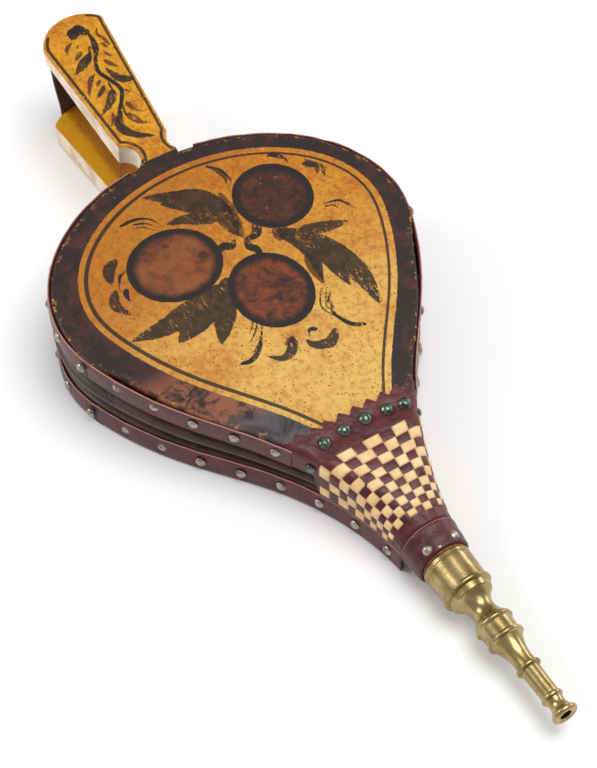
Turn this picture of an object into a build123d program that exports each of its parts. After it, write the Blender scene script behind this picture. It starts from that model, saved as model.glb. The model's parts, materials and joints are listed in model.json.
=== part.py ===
from build123d import *
import os
from math import asin, atan2, cos, degrees, hypot, radians, sin

# Hand bellows. Millimetres. X runs towards the nozzle, Y to the left, Z up; the back board lies on Z = 0.
# The design frame has X = 0 at the joint of wood and brass; export_all() moves the origin to the middle
# of the object's footprint.

# --- boards
BOARD_T = 13.0
BODY_LENGTH = 258.0          # nose face to the round tail
TAIL_RADIUS_X = 73.0         # the tail is half an ellipse
HALF_WIDTH = 93.5
FLANK = [(0, 11.6), (-22, 13.6), (-50, 21.0), (-84, 38.6), (-121, 66.5), (-157, 86.7)]
FLANK_STEPS = 20
EDGE_ROUND = 1.6
HANDLE_ROOT_X = -246.0
HANDLE_ROOT_HALF = 14.5
HANDLE_CORNER_R = 4.0
FRONT_HANDLE_END = 370.0     # distance behind the nose face
FRONT_HANDLE_LEFT = [(HANDLE_ROOT_X, 8.6), (-362.0, 21.6)]       # hand carved: the two sides differ
FRONT_HANDLE_RIGHT = [(HANDLE_ROOT_X, -14.5), (-352.5, -17.8)]
FRONT_HANDLE_APEX_Y = 6.0
FRONT_HANDLE_TAPER = [(-285.0, 0.0), (-380.0, 6.8)]              # x and how far the underside is cut up
BACK_HANDLE_END = 358.5
BACK_HANDLE_LEFT = [(HANDLE_ROOT_X, 14.5), (-349.5, 19.8)]
BACK_HANDLE_RIGHT = [(HANDLE_ROOT_X, -14.5), (-349.5, -19.8)]
NOTCH_R = 9.6
NOTCH_OUT = 18.2             # notch centre from the middle line
NOTCH_BEHIND_BODY = 8.0

# --- hinge and opening
HINGE_X = -62.5
HINGE_GAP = 11.0             # between the boards when they are parallel
HINGE_Z = 2 * BOARD_T + HINGE_GAP
OPEN_DEG = 5.5
FRONT_CLEARANCE = 1.0        # front board's end to the hinge line

# --- nose block and nozzle
NOZZLE_Z = 14.6
NOSE_SECTIONS = [            # x, lowest z, highest z, corner radius; the half width is the board's own
    (HINGE_X, 0.0, HINGE_Z, 3.0),
    (-40.0, 0.6, 34.0, 8.0),
    (-18.0, 2.0, 28.6, 11.5),
    (0.0, 3.1, 26.1, 11.4),
]
SPIGOT_R = 7.0
SPIGOT_LENGTH = 22.0
AIRWAY_R = 4.3
LIP_X = 90.0
OUTLET_R = 2.8
OUTLET_LENGTH = 12.0

# --- leather
LEATHER_T = 1.4
BAND_T = 1.6
GLUE_LINE = 0.1              # between a wooden edge and the leather on it
BAND_REACH = 0.7             # the bands stand this far past the boards' inner faces
FOLD_DEPTH = 12.0
FOLD_PROUD = 1.5
FOLD_SECTIONS = [(0.0, 0.0), (0.2, -FOLD_DEPTH), (0.37, FOLD_PROUD), (0.63, FOLD_PROUD),
                 (0.8, -FOLD_DEPTH), (1.0, 0.0)]
COLLAR_BACK_X = -14.0
COLLAR_T = 1.8
COVER_T = 1.4
COVER_LOW_Z = 14.4
COVER_REACH = 17.0           # on to the front board, to the middle of its pinked edge
COVER_SKIRT = 13.0
PINK_PITCH = 5.6
PINK_DEPTH = 3.8
COVER_NAILS_Y = (-19.5, -8.0, 3.8, 15.2, 24.0)
COVER_NAILS_BACK = 10.0      # behind the hinge, on the middle line
COVER_NAILS_BOW = 1.6        # how much further forward a nail 19 mm off the middle line sits
COVER_SIDE_NAIL_BACK = 4.2
SIDE_NAIL_LIFT = 0.2         # a flat nail's rim clears the curved leather under it
WEAVE_X = (-60.0, -21.0)
WEAVE_T = 0.6
WEAVE_STRIPS = 9
HOOP_R = 1.75

# --- nails
NAIL_SPACING = 20.9
NAIL_HEAD_R = 2.7
COVER_NAIL_HEAD_R = 3.3
TACK_HEAD_R = 2.1
NAIL_SHANK_R = 0.8
NAIL_SHANK = 6.0
NAIL_DOME = 0.58             # height of a head over its radius

# --- valve
VALVE_X = -178.0
INTAKE_R = 14.0
VALVE_HALF = 21.0
VALVE_GLUE_STRIP = 10.0
STIFFENER_T = 2.4

# --- strap
STRAP_W = 23.0
STRAP_T = 2.2
STRAP_LAP = 20.0

CENTRE_X = -(BODY_LENGTH - TAIL_RADIUS_X)
FLANK_EDGE = Spline([(x, y) for x, y in FLANK] + [(CENTRE_X, HALF_WIDTH)],
                    tangents=[(-1, 0.06), (-1, 0)])


def opened(shape, share=1.0):
    """Turn a shape about the hinge line by a share of the opening angle."""
    pivot = Pos(HINGE_X, 0, HINGE_Z)
    return pivot * Rot(0, OPEN_DEG * share, 0) * pivot.inverse() * shape


def flank_param(x):
    """Where the flank curve reaches a given x, found by halving."""
    low, high = 0.0, 1.0
    for _ in range(40):
        middle = (low + high) / 2
        if (FLANK_EDGE @ middle).X > x:
            low = middle
        else:
            high = middle
    return low


def flank_half_width(x):
    return (FLANK_EDGE @ flank_param(x)).Y


def flank_points(offset, front_x):
    """Points on the left flank moved out by offset, from front_x back to the widest place."""
    first = flank_param(front_x)
    points = []
    for step in range(FLANK_STEPS + 1):
        u = first + (1 - first) * step / FLANK_STEPS
        spot, along = FLANK_EDGE @ u, FLANK_EDGE % u
        points.append((spot.X + along.Y * offset, spot.Y - along.X * offset))
    return points


def pear_face(offset=0.0, front_x=0.0):
    """The boards' plan outline, moved out by offset and cut straight across at front_x."""
    left = flank_points(offset, front_x)
    right = [(x, -y) for x, y in left]
    tail = EllipticalCenterArc((CENTRE_X, 0), TAIL_RADIUS_X + offset, HALF_WIDTH + offset,
                               start_angle=90, arc_size=180)
    outline = Curve() + [Spline(left), tail, Spline(right), Line(right[0], left[0])]
    return make_face(outline)


def handle_face(left, right, apex):
    """A handle's plan outline, with notches where it leaves the body."""
    bow = ThreePointArc(left[1], apex, right[1])
    face = make_face(Curve() + [Line(*left), Line(*right), bow, Line(left[0], right[0])])
    face = fillet(face.vertices().sort_by(Axis.X)[:2], HANDLE_CORNER_R)
    for side in (1, -1):
        notch_x = -(BODY_LENGTH + NOTCH_BEHIND_BODY)
        face -= Pos(notch_x, side * NOTCH_OUT) * Circle(NOTCH_R)
    return face


def plate(face, low, high):
    return Pos(0, 0, low) * extrude(face, high - low)


def span_box(low, high):
    """A box between two corners."""
    size = [b - a for a, b in zip(low, high)]
    return Pos(*low) * Box(*size, align=(Align.MIN, Align.MIN, Align.MIN))


def nose_loft(grow=0.0):
    """The nose, board and block together, from the hinge to the brass, grown by a leather's thickness."""
    sections = []
    for x, low, high, radius in NOSE_SECTIONS:
        half = flank_half_width(x) + grow
        tall = high - low + 2 * grow
        section = RectangleRounded(2 * half, tall, min(radius + grow, half - 0.05, tall / 2 - 0.05))
        sections.append(Plane.YZ.offset(x) * Pos(0, (low + high) / 2) * section)
    return loft(sections, ruled=True)


def bar(radius, length):
    """A round bar standing on its end."""
    return Cylinder(radius, length, align=(Align.CENTER, Align.CENTER, Align.MIN))


def airway():
    """The slanted hole from the gap between the boards to the nozzle's socket."""
    start = (HINGE_X - 2, HINGE_Z / 2 + 0.6)
    end = (-SPIGOT_LENGTH + 1, NOZZLE_Z)
    run, drop = end[0] - start[0], start[1] - end[1]
    length = hypot(run, drop)
    return Pos(start[0], 0, start[1]) * Rot(0, 90 + degrees(asin(drop / length)), 0) * bar(AIRWAY_R, length)


def nose_bores():
    socket = Pos(-SPIGOT_LENGTH, 0, NOZZLE_Z) * Rot(0, 90, 0) * bar(SPIGOT_R, SPIGOT_LENGTH + 1)
    return socket + airway()


def back_board():
    body = plate(pear_face(0, HINGE_X), 0, BOARD_T)
    body += plate(handle_face(BACK_HANDLE_LEFT, BACK_HANDLE_RIGHT, (-BACK_HANDLE_END, 0)), 0, BOARD_T)
    nose = nose_loft() & span_box((HINGE_X - 0.01, -60, 0), (1, 60, BOARD_T))
    board = body + nose - nose_bores()
    board -= Pos(VALVE_X, 0, BOARD_T / 2) * Cylinder(INTAKE_R, BOARD_T + 2)
    return board


def nose_block():
    top = nose_loft() & span_box((HINGE_X, -60, BOARD_T), (1, 60, HINGE_Z + 5))
    return top - nose_bores()


def front_underside(x):
    """Height of the front handle's underside, which rises towards the tip."""
    (start, _), (stop, rise) = FRONT_HANDLE_TAPER
    return BOARD_T + HINGE_GAP + rise * (x - start) / (stop - start)


def front_board():
    handle = handle_face(FRONT_HANDLE_LEFT, FRONT_HANDLE_RIGHT, (-FRONT_HANDLE_END, FRONT_HANDLE_APEX_Y))
    low = BOARD_T + HINGE_GAP
    board = plate(pear_face(0, HINGE_X - FRONT_CLEARANCE) + handle, low, low + BOARD_T)
    rims = board.faces().sort_by(Axis.Z)[-1].edges()
    start, stop = [x for x, _ in FRONT_HANDLE_TAPER]
    wedge = make_face(Polyline((start, low), (stop, front_underside(stop)), (stop, low - 1),
                               (start, low - 1), close=True))
    return opened(fillet(rims, EDGE_ROUND) - extrude(Plane.XZ * wedge, 40, both=True))


def nose_block_screws():
    """Countersunk wood screws up through the back board into the block."""
    profile = [(0, 0.3), (3.6, 0.3), (3.6, 0.9), (1.6, 3.0), (1.6, 17.5), (0, 20.0)]
    screw = revolve(Plane.XZ * make_face(Polyline(*profile, close=True)), Axis.Z)
    slot = span_box((-3.6, -0.4, 0), (3.6, 0.4, 1.2))
    places = [(-55, 18.0), (-55, -18.0), (-38, 11.0), (-38, -11.0)]
    return [Pos(x, y, 0) * (screw - slot) for x, y in places]


def nozzle():
    """Turned brass tube: base, beads and coves along a taper, with a flared lip."""
    outline = (
        [Polyline((-SPIGOT_LENGTH, AIRWAY_R), (-SPIGOT_LENGTH, SPIGOT_R), (0, SPIGOT_R), (0, 11.3)),
         Polyline((0, 11.3), (0.9, 12.1), (2.6, 12.1), (3.1, 11.6), (3.6, 11.6), (4.1, 12.0)),
         Polyline((4.1, 12.0), (16.2, 11.5), (16.6, 12.0))]
        + [ThreePointArc((16.6, 12.0), (17.5, 12.5), (18.4, 12.0))]
        + [Polyline((18.4, 12.0), (18.8, 10.7), (21.6, 10.4), (22.2, 9.9))]
        + [ThreePointArc((22.2, 9.9), (27.6, 6.1), (35.6, 8.6))]
        + [Polyline((35.6, 8.6), (36.6, 9.1))]
        + [ThreePointArc((36.6, 9.1), (37.6, 9.6), (38.6, 9.1))]
        + [Polyline((38.6, 9.1), (39.0, 8.5), (45.0, 8.2), (45.4, 8.7))]
        + [ThreePointArc((45.4, 8.7), (46.3, 9.2), (47.2, 8.7))]
        + [Polyline((47.2, 8.7), (47.6, 7.8))]
        + [ThreePointArc((47.6, 7.8), (53.5, 5.5), (61.4, 4.9))]
        + [Polyline((61.4, 4.9), (61.9, 5.8))]
        + [ThreePointArc((61.9, 5.8), (62.8, 6.2), (63.7, 5.8))]
        + [Polyline((63.7, 5.8), (64.1, 4.7), (78.4, 4.4), (78.8, 5.0))]
        + [ThreePointArc((78.8, 5.0), (79.7, 5.3), (80.6, 5.0))]
        + [Polyline((80.6, 5.0), (81.0, 4.3))]
        + [ThreePointArc((81.0, 4.3), (83.9, 3.9), (87.4, 5.7))]
        + [ThreePointArc((87.4, 5.7), (89.3, 6.1), (LIP_X, 4.6))]
        + [Polyline((LIP_X, 4.6), (LIP_X - 0.6, OUTLET_R), (LIP_X - 0.6 - OUTLET_LENGTH, OUTLET_R),
                    (26, 3.4), (-SPIGOT_LENGTH, AIRWAY_R))]
    )
    solid = revolve(make_face(Curve() + outline), Axis.X)
    return Pos(0, 0, NOZZLE_Z) * solid


def edge_ring(inner, outer, low, high, front_x=HINGE_X):
    """A strip standing on edge round the outline, between two offsets."""
    inside = plate(pear_face(inner, front_x + 5), low - 1, high + 1)
    return plate(pear_face(outer, front_x), low, high) - inside


def handle_gap_box(low, high):
    """The stretch of the tail that a band leaves free for the handle."""
    half = HANDLE_ROOT_HALF + 3.0
    return span_box((-BODY_LENGTH - 8, -half, low), (CENTRE_X, half, high))


def lower_trim_band():
    band = edge_ring(GLUE_LINE, BAND_T, 0.4, BOARD_T + BAND_REACH, front_x=COLLAR_BACK_X - 0.6)
    band -= nose_loft(GLUE_LINE)
    band -= span_box((COLLAR_BACK_X - 0.3, -60, -1), (10, 60, 40))
    return (band - handle_gap_box(-1, 20)).solids()


def upper_trim_band():
    low, high = BOARD_T + HINGE_GAP - BAND_REACH, HINGE_Z - 0.6
    band = edge_ring(GLUE_LINE, BAND_T, low, high, front_x=HINGE_X - COVER_SKIRT)
    band -= span_box((HINGE_X - COVER_SKIRT - 0.3, -60, 0), (10, 60, 60))
    return [opened(solid) for solid in (band - handle_gap_box(low - 1, 60)).solids()]


def nail(head_r, shank=NAIL_SHANK):
    """A domed nail; its head starts at Z = 0 and its shank runs down."""
    height = head_r * NAIL_DOME
    ball_r = (head_r ** 2 + height ** 2) / (2 * height)
    half_turn = asin(head_r / ball_r) / 2
    middle = (ball_r * sin(half_turn), height - ball_r + ball_r * cos(half_turn))
    point = [(0, height), (0, -shank), (NAIL_SHANK_R, 1.5 - shank), (NAIL_SHANK_R, 0), (head_r, 0)]
    profile = [Polyline(*point),
               ThreePointArc((head_r, 0), middle, (0, height))]
    return revolve(Plane.XZ * make_face(Curve() + profile), Axis.Z)


def nail_hole():
    """What a nail's shank needs to pass through leather that moves against it."""
    return Cylinder(NAIL_SHANK_R + 0.1, 8.0)


def edge_stations(first_s, last_gap):
    """Evenly spaced places on the left outline: x, y and the outward direction in degrees."""
    flank = FLANK_EDGE
    tail = EllipticalCenterArc((CENTRE_X, 0), TAIL_RADIUS_X, HALF_WIDTH, start_angle=90, arc_size=90)
    total = flank.length + tail.length
    usable = total - first_s - last_gap
    count = round(usable / NAIL_SPACING)
    stations = []
    for step in range(count + 1):
        s = first_s + usable * step / count
        edge, along = (flank, s) if s < flank.length else (tail, s - flank.length)
        spot, way = edge @ (along / edge.length), edge % (along / edge.length)
        stations.append((spot.X, spot.Y, Vector(way.Y, -way.X)))
    return stations


def edge_nails(stations, z):
    """Nails through a band's outer face, the same on both flanks."""
    made = []
    for x, y, out in stations:
        for side in (1, -1):
            at = Plane(origin=(x + out.X * BAND_T, side * (y + out.Y * BAND_T), z),
                       z_dir=(out.X, side * out.Y, 0))
            made.append(at * nail(NAIL_HEAD_R))
    return made


def lower_trim_nails():
    return edge_nails(edge_stations(24.0, HANDLE_ROOT_HALF + 10), BOARD_T / 2 + 0.2)


def upper_trim_nails():
    z = HINGE_Z - BOARD_T / 2 - 0.2
    return [opened(one) for one in edge_nails(edge_stations(88.0, HANDLE_ROOT_HALF + 10), z)]


def bellows_leather():
    """The folded gusset: a fan of outlines, each turned about the hinge by its share of the opening."""
    def stack(extra):
        sections = []
        for share, offset in FOLD_SECTIONS:
            face = Pos(0, 0, BOARD_T + HINGE_GAP * share) * pear_face(offset + extra, HINGE_X + 8)
            sections.append(opened(face, share))
        return loft(sections, ruled=True)
    folded = stack(0) - stack(-LEATHER_T)
    return folded & span_box((-400, -150, 0), (HINGE_X - 0.2, 150, 100))


def fold_hoop():
    """A bent cane lying inside the fold's crest."""
    inset = FOLD_PROUD - LEATHER_T - HOOP_R - 0.35
    left = flank_points(inset, HINGE_X - 38)
    right = [(x, -y) for x, y in reversed(left)]
    dx, dy = left[1][0] - left[0][0], left[1][1] - left[0][1]
    tail = EllipticalCenterArc((CENTRE_X, 0), TAIL_RADIUS_X + inset, HALF_WIDTH + inset,
                               start_angle=90, arc_size=180)
    sides = [Spline(left, tangents=[(dx, dy), (-1, 0)]), Spline(right, tangents=[(1, 0), (-dx, dy)])]
    path = Wire([sides[0].edge(), tail.edge(), sides[1].edge()])
    hoop = sweep(Plane(origin=path @ 0, z_dir=path % 0) * Circle(HOOP_R), path=path)
    return opened(Pos(0, 0, BOARD_T + HINGE_GAP / 2) * hoop, 0.5)


def pinked_outline():
    """Plan of the cover's flap on the front board, with its zigzag edge."""
    back = HINGE_X - COVER_REACH
    teeth = int(60 / PINK_PITCH)
    zigzag = []
    for step in range(2 * teeth + 1):
        y = -teeth * PINK_PITCH / 2 + step * PINK_PITCH / 2
        zigzag.append((back + (PINK_DEPTH / 2 if step % 2 else -PINK_DEPTH / 2), y))
    front = [(HINGE_X + 0.6, zigzag[-1][1]), (HINGE_X + 0.6, zigzag[0][1])]
    return make_face(Polyline(*zigzag, *front, close=True))


def cover_top_seats():
    """Where the cover's nails sit on the front board, in a bowed row."""
    seats = []
    for y in COVER_NAILS_Y:
        x = HINGE_X - COVER_NAILS_BACK + COVER_NAILS_BOW * (y / 19) ** 2
        seats.append(Plane(origin=(x, y, HINGE_Z + COVER_T), z_dir=(0, 0, 1)))
    return seats


def cover_side_seats():
    """One more nail on each side, in the front board's edge."""
    x = HINGE_X - COVER_SIDE_NAIL_BACK
    along = FLANK_EDGE % flank_param(x)
    seats = []
    for side in (1, -1):
        reach = COVER_T + SIDE_NAIL_LIFT
        spot = (x + along.Y * reach, side * (flank_half_width(x) - along.X * reach), HINGE_Z - BOARD_T / 2)
        seats.append(Plane(origin=spot, z_dir=(along.Y, -side * along.X, 0)))
    return seats


def hinge_cover():
    """Leather over the block, on over the hinge and down the front board's edges beside it."""
    shell = nose_loft(COVER_T) - nose_loft()
    shell &= span_box((HINGE_X, -80, COVER_LOW_Z), (COLLAR_BACK_X - 0.2, 80, 60))
    low = BOARD_T + HINGE_GAP
    top = plate(pear_face(COVER_T, HINGE_X + 2) & pinked_outline(), HINGE_Z, HINGE_Z + COVER_T)
    skirts = edge_ring(GLUE_LINE, COVER_T, low, HINGE_Z + COVER_T, front_x=HINGE_X + 2)
    skirts &= span_box((HINGE_X - COVER_SKIRT, -80, low), (HINGE_X - 0.4, 80, 60))
    cover = shell + opened(top) + [opened(skirt) for skirt in skirts.solids()]
    for seat in cover_top_seats() + cover_side_seats():
        cover -= opened(seat * nail_hole())
    return cover.solids()


def woven_strips():
    """Cream strips lying along the cover, fanned round the nose."""
    shell = nose_loft(COVER_T + WEAVE_T) - nose_loft(COVER_T)
    shell &= span_box((WEAVE_X[0], -80, COVER_LOW_Z + 0.6), (WEAVE_X[1], 80, 60))
    strips = []
    for index in range(WEAVE_STRIPS):
        angle = radians(12 + 156 * index / (WEAVE_STRIPS - 1))
        spread = radians(4.6)
        tips = [(140 * cos(angle + a), 140 * sin(angle + a)) for a in (-spread, spread)]
        wedge = make_face(Polyline((0, 0), *tips, close=True))
        sector = Pos(WEAVE_X[0] - 1, 0, NOZZLE_Z - 2) * extrude(Plane.YZ * wedge, 60)
        strips += (shell & sector).solids()
    return strips


def collar():
    ring = nose_loft(COLLAR_T) - nose_loft()
    return ring & span_box((COLLAR_BACK_X, -60, 0.05), (-0.5, 60, 60))


def collar_nails():
    """Four nails round the collar, clear of the resting face, and one small pin on its seam."""
    made = []
    for angle, x, head_r in ((57, -4.6, 2.6), (124, -4.6, 2.6), (212, -7, 2.6), (328, -7, 2.6), (101, -1.9, 0.9)):
        reach = 11.55 + COLLAR_T
        way = (0, cos(radians(angle)), sin(radians(angle)))
        seat = (x, reach * way[1] * 1.01, NOZZLE_Z + 0.2 + reach * way[2])
        made.append(Plane(origin=seat, z_dir=way) * nail(head_r, 5.0))
    return made


def hinge_cover_nails():
    tops = [seat * nail(COVER_NAIL_HEAD_R) for seat in cover_top_seats()]
    sides = [seat * nail(NAIL_HEAD_R) for seat in cover_side_seats()]
    return [opened(one) for one in tops + sides]


def valve_pivot_x():
    return VALVE_X + INTAKE_R + 5.0


def valve_flap():
    x = valve_pivot_x()
    flap = span_box((x - 2 * VALVE_HALF, -VALVE_HALF, BOARD_T), (x, VALVE_HALF, BOARD_T + LEATHER_T))
    return fillet(flap.edges().filter_by(Axis.Z).sort_by(Axis.X)[:2], 6.0)


def valve_stiffener():
    x = valve_pivot_x() - 3
    low = BOARD_T + LEATHER_T
    pad = span_box((x - 34, -17, low), (x, 17, low + STIFFENER_T))
    return fillet(pad.edges().filter_by(Axis.Z), 4.0)


def valve_hinge_strip():
    x = valve_pivot_x() + 0.15
    return span_box((x, -VALVE_HALF, BOARD_T), (x + VALVE_GLUE_STRIP, VALVE_HALF, BOARD_T + LEATHER_T))


def valve_tacks():
    x = valve_pivot_x() + VALVE_GLUE_STRIP / 2
    return [Pos(x, y, BOARD_T + LEATHER_T) * nail(TACK_HEAD_R, 7.0) for y in (-15, 0, 15)]


def taper_angle():
    (start, _), (stop, rise) = FRONT_HANDLE_TAPER
    return atan2(rise, start - stop)


def strap_corners():
    """The strap's middle line: along under the front handle, down, and over the back handle's end."""
    turned = []
    for x in (-(FRONT_HANDLE_END - 3 - STRAP_LAP), -(FRONT_HANDLE_END - 3)):
        under = front_underside(x) - STRAP_T / 2 / cos(taper_angle())
        dx, dz = x - HINGE_X, under - HINGE_Z
        a = radians(OPEN_DEG)
        turned.append((HINGE_X + dx * cos(a) + dz * sin(a), HINGE_Z - dx * sin(a) + dz * cos(a)))
    end_x = -(BACK_HANDLE_END + STRAP_T / 2)
    return turned + [(end_x, BOARD_T + 3), (end_x, 1.5)]


def handle_strap():
    corners = [Vector(x, 0, z) for x, z in strap_corners()]
    path = FilletPolyline(*corners, radius=3.5)
    section = Plane(origin=path @ 0, x_dir=(0, 1, 0), z_dir=path % 0) * Rectangle(STRAP_W, STRAP_T)
    strap = sweep(section, path=path)
    for seat in upper_tack_seats():
        strap -= opened(seat * nail_hole())
    return strap


def upper_tack_seats():
    """Where the strap's tacks sit under the front handle, square to its rising underside."""
    a = taper_angle()
    return [Plane(origin=(x, y, front_underside(x) - STRAP_T / cos(a)), z_dir=(-sin(a), 0, -cos(a)))
            for x, y in ((-359, -6.5), (-359, 6.5), (-352, 0))]


def upper_strap_tacks():
    return [opened(seat * nail(TACK_HEAD_R, 6.5)) for seat in upper_tack_seats()]


def lower_strap_tacks():
    made = []
    for y in (-6.5, 6.5):
        seat = Plane(origin=(-(BACK_HANDLE_END + STRAP_T), y, 6.5), z_dir=(-1, 0, 0))
        made.append(seat * nail(TACK_HEAD_R, 8.0))
    return made


MAKERS = [
    back_board, nose_block, nose_block_screws, nozzle, lower_trim_band, lower_trim_nails,
    front_board, upper_trim_band, upper_trim_nails, bellows_leather, fold_hoop,
    hinge_cover, woven_strips, hinge_cover_nails, collar, collar_nails,
    valve_flap, valve_stiffener, valve_hinge_strip, valve_tacks,
    handle_strap, upper_strap_tacks, lower_strap_tacks,
]


def solids_of(shape):
    """The shape's solids, whether it is one shape or a list."""
    shapes = shape if isinstance(shape, (list, ShapeList)) else [shape]
    return [solid for one in shapes for solid in one.solids()]


def export_all():
    os.makedirs("parts", exist_ok=True)
    pieces = {maker.__name__: solids_of(maker()) for maker in MAKERS}
    whole = Compound([solid for solids in pieces.values() for solid in solids]).bounding_box()
    home = Pos(-(whole.min.X + whole.max.X) / 2, -(whole.min.Y + whole.max.Y) / 2, -whole.min.Z)
    for name, solids in pieces.items():
        moved = [home * solid for solid in solids]
        export_step(moved[0] if len(moved) == 1 else Compound(moved), f"parts/{name}.step")
    print("size", whole.size, "lowest", whole.min.Z)
    print("hinge at", home * Pos(HINGE_X, 0, HINGE_Z))
    print("valve pivot at", home * Pos(valve_pivot_x(), 0, BOARD_T + LEATHER_T))
    print("nozzle lip at", home * Pos(LIP_X, 0, NOZZLE_Z))


export_all()
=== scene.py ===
import json
import random
from math import cos, pi, radians, sin

import bmesh
import bpy
import numpy as np
from mathutils import Matrix, Vector, noise
from mathutils.geometry import delaunay_2d_cdt


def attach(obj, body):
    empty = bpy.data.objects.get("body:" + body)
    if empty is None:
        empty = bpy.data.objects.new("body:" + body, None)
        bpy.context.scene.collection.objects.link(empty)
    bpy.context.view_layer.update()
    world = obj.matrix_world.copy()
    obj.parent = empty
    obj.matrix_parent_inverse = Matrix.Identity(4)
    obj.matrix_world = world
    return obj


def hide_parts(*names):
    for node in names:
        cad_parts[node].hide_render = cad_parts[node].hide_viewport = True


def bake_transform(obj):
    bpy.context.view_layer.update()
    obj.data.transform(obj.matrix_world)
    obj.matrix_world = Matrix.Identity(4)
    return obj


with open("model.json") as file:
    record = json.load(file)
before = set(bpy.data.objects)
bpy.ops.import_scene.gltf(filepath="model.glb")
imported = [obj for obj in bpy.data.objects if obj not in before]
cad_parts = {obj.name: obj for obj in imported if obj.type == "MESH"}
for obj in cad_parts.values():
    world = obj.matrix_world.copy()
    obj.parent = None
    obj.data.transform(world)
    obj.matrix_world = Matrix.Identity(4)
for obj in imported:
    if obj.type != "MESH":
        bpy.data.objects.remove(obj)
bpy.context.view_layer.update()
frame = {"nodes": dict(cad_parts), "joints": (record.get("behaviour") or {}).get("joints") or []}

# Hand bellows. Lengths are millimetres in the design frame: X = 0 where wood meets brass, +X to the nozzle.
# to_row() turns them into metres in the shared frame.
BOARD_T = 13.0
BODY_LENGTH = 258.0
TAIL_RADIUS_X = 73.0
HALF_WIDTH = 93.5
FLANK = [(0, 11.6), (-22, 13.6), (-50, 21.0), (-84, 38.6), (-121, 66.5), (-157, 86.7)]
CENTRE_X = TAIL_RADIUS_X - BODY_LENGTH
HINGE_X = -62.5
HINGE_GAP = 11.0
HINGE_Z = 2 * BOARD_T + HINGE_GAP
OPEN = radians(5.5)
FRONT_HANDLE_END = 370.0
FRONT_HANDLE_TAPER = [(-285.0, 0.0), (-380.0, 6.8)]      # x and how far the underside is cut up
BACK_HANDLE_END = 358.5
BACK_HANDLE_END_R = 26.3
HANDLE_ROOT_HALF = 14.5
NOSE_SECTIONS = np.array([       # x, lowest z, highest z, corner radius
    (HINGE_X, 0.0, HINGE_Z, 3.0), (-40.0, 0.6, 34.0, 8.0), (-18.0, 2.0, 28.6, 11.5), (0.0, 3.1, 26.1, 11.4)])
GLUE = 0.1
BAND_T = 1.6
LEATHER_T = 1.4
COVER_T = 1.4
COVER_REACH = 17.0
COVER_SKIRT = 13.0
COVER_LOW_Z = 14.4
SKIRT_LOW_Z = 24.3
PINK_PITCH = 5.6
PINK_DEPTH = 3.8
COLLAR_BACK_X = -14.0
STRAP_W = 23.0
STRAP_T = 2.2
STRAP_LAP = 20.0
STRAP_BEND = 3.0
PAINT_FILM = 0.06                # the painted picture stands this far off the wood

JOINTS = {joint["name"]: joint for joint in frame["joints"]}
SHIFT = JOINTS["board_hinge"]["pos_m"][0] * 1000 - HINGE_X


# --- geometry

def to_row(points):
    return (np.asarray(points, float) + (SHIFT, 0, 0)) / 1000


def to_design(points):
    return np.asarray(points, float) * 1000 - (SHIFT, 0, 0)


def opened(points, share=1.0):
    """Turn points about the hinge line by a share of the opening angle."""
    points = np.array(points, float)
    x, z = points[..., 0] - HINGE_X, points[..., 2] - HINGE_Z
    turn = OPEN * np.asarray(share)
    points[..., 0] = HINGE_X + x * np.cos(turn) + z * np.sin(turn)
    points[..., 2] = HINGE_Z - x * np.sin(turn) + z * np.cos(turn)
    return points


def smooth_step(low, high, value):
    t = np.clip((np.asarray(value, float) - low) / (high - low), 0, 1)
    return t * t * (3 - 2 * t)


def clamped_spline(points, first, last, per_span):
    """A cubic spline through points with given unit tangents at its ends, by chord length."""
    points = np.array(points, float)
    h = np.linalg.norm(np.diff(points, axis=0), axis=1)
    count = len(points)
    matrix, right = np.eye(count), np.zeros((count, 2))
    right[0], right[-1] = np.array(first) / np.hypot(*first), np.array(last) / np.hypot(*last)
    for i in range(1, count - 1):
        matrix[i, i - 1:i + 2] = h[i], 2 * (h[i - 1] + h[i]), h[i - 1]
        slope = (points[i] - points[i - 1]) / h[i - 1], (points[i + 1] - points[i]) / h[i]
        right[i] = 3 * (h[i] * slope[0] + h[i - 1] * slope[1])
    tangent = np.linalg.solve(matrix, right)
    made = []
    for i in range(count - 1):
        u = np.linspace(0, 1, per_span, endpoint=i == count - 2)[:, None]
        made.append((2 * u**3 - 3 * u**2 + 1) * points[i] + (u**3 - 2 * u**2 + u) * h[i] * tangent[i]
                    + (3 * u**2 - 2 * u**3) * points[i + 1] + (u**3 - u**2) * h[i] * tangent[i + 1])
    return np.vstack(made)


def arc_lengths(line):
    return np.concatenate([[0], np.cumsum(np.linalg.norm(np.diff(line, axis=0), axis=1))])


def resample(line, places):
    """The points of a line at the given lengths along it."""
    s = arc_lengths(line)
    return np.stack([np.interp(places, s, values) for values in line.T], axis=1)


def headings(line):
    """The unit direction of a line at each of its points."""
    way = np.gradient(line, axis=0)
    return way / np.linalg.norm(way, axis=1)[:, None]


def closed(ring):
    return np.vstack([ring, ring[:1]])


def curve_through(points, step=1.0):
    """A Catmull-Rom curve through a few points, sampled evenly."""
    points = np.array(points, float)
    padded = np.vstack([2 * points[0] - points[1], points, 2 * points[-1] - points[-2]])
    made = []
    for i in range(1, len(padded) - 2):
        a, b, c, d = padded[i - 1:i + 3]
        u = np.linspace(0, 1, 12, endpoint=i == len(padded) - 3)[:, None]
        made.append(0.5 * (2 * b + (c - a) * u + (2 * a - 5 * b + 4 * c - d) * u**2
                           + (3 * b - a - 3 * c + d) * u**3))
    line = np.vstack(made)
    length = arc_lengths(line)[-1]
    return resample(line, np.linspace(0, length, max(4, int(length / step))))


LEFT_FLANK = clamped_spline(FLANK + [(CENTRE_X, HALF_WIDTH)], (-1, 0.06), (-1, 0), 60)


def half_width(x):
    return np.interp(-np.asarray(x, float), -LEFT_FLANK[:, 0], LEFT_FLANK[:, 1])


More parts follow.
